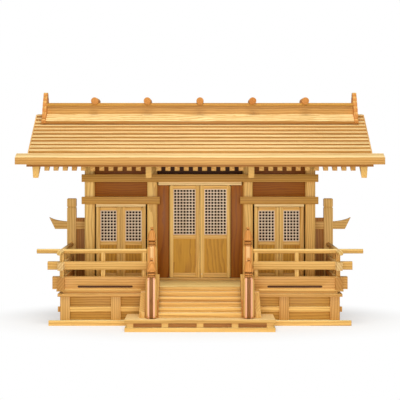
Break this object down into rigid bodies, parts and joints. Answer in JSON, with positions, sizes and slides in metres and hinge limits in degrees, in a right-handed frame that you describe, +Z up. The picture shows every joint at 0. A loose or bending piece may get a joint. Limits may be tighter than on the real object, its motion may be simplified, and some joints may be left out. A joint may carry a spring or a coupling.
{
  "type": "household shrine cabinet",
  "caption": "Household shrine cabinet of pale cypress with a stepped gabled roof, lattice doors on pins, a railed veranda and a front stair.",
  "frame": {"origin": "middle of the footprint, on the surface it stands on", "axes": "+Z up, the front with the stair faces -Y, +X along the front to the viewer's right"},
  "size_m": [0.68, 0.321, 0.433],
  "materials": {
    "cypress": "planed, unvarnished",
    "roof_cypress": "planed, unvarnished",
    "post_cypress": "planed, unvarnished",
    "door_cypress": "planed, unvarnished",
    "lattice_cypress": "planed, unvarnished"
  },
  "bodies": {
    "root": {"base_board": "cypress", "base_posts": "cypress", "base_panels": "cypress", "base_mid_rails": "cypress", "base_beam": "cypress", "platform_base": "cypress", "platform_top": "cypress", "veranda_edge": "cypress", "veranda_floor": "cypress", "stair_treads": "cypress", "stair_carcase": "cypress", "lower_newels": "post_cypress", "upper_newels": "post_cypress", "kerbs": "cypress", "mid_rails": "cypress", "top_rails": "cypress", "rail_posts": "cypress", "stair_rails": "cypress", "wing_beams": "cypress", "wing_posts": "cypress", "wing_panels": "cypress", "columns": "post_cypress", "roof_beams": "cypress", "gable_walls": "cypress", "cell_walls": "cypress", "cell_floors": "cypress", "cell_ceiling": "cypress", "upper_beam": "cypress", "lower_beams": "cypress", "door_heads": "cypress", "door_sills": "cypress", "front_panels": "cypress", "rafters": "cypress", "under_boards": "cypress", "eave_boards": "roof_cypress", "sheathing": "roof_cypress", "roof_boards_front": "roof_cypress", "roof_boards_rear": "roof_cypress", "deep_rafters": "cypress", "bargeboards": "cypress", "ridge_box": "roof_cypress", "ridge_top_board": "roof_cypress", "cap_boards": "roof_cypress", "ridge_logs": "cypress", "finials": "cypress"},
    "leaf_middle_left": {"door_middle_left": "door_cypress", "lattice_middle_left": "lattice_cypress"},
    "leaf_middle_right": {"door_middle_right": "door_cypress", "lattice_middle_right": "lattice_cypress"},
    "leaf_left_outer": {"door_left_outer": "door_cypress", "lattice_left_outer": "lattice_cypress"},
    "leaf_left_inner": {"door_left_inner": "door_cypress", "lattice_left_inner": "lattice_cypress"},
    "leaf_right_outer": {"door_right_outer": "door_cypress", "lattice_right_outer": "lattice_cypress"},
    "leaf_right_inner": {"door_right_inner": "door_cypress", "lattice_right_inner": "lattice_cypress"}
  },
  "joints": [
    {"name": "middle_left_door", "type": "hinge", "parent": "root", "child": "leaf_middle_left", "pos_m": [-0.0558, 0.0515, 0.08], "axis": [0, 0, -1], "range_deg": [0, 95]},
    {"name": "middle_right_door", "type": "hinge", "parent": "root", "child": "leaf_middle_right", "pos_m": [0.0558, 0.0515, 0.08], "axis": [0, 0, 1], "range_deg": [0, 95]},
    {"name": "left_outer_door", "type": "hinge", "parent": "root", "child": "leaf_left_outer", "pos_m": [-0.1973, 0.0515, 0.08], "axis": [0, 0, -1], "range_deg": [0, 95]},
    {"name": "left_inner_door", "type": "hinge", "parent": "root", "child": "leaf_left_inner", "pos_m": [-0.1095, 0.0515, 0.08], "axis": [0, 0, 1], "range_deg": [0, 95]},
    {"name": "right_outer_door", "type": "hinge", "parent": "root", "child": "leaf_right_outer", "pos_m": [0.1973, 0.0515, 0.08], "axis": [0, 0, 1], "range_deg": [0, 95]},
    {"name": "right_inner_door", "type": "hinge", "parent": "root", "child": "leaf_right_inner", "pos_m": [0.1095, 0.0515, 0.08], "axis": [0, 0, -1], "range_deg": [0, 95]}
  ]
}
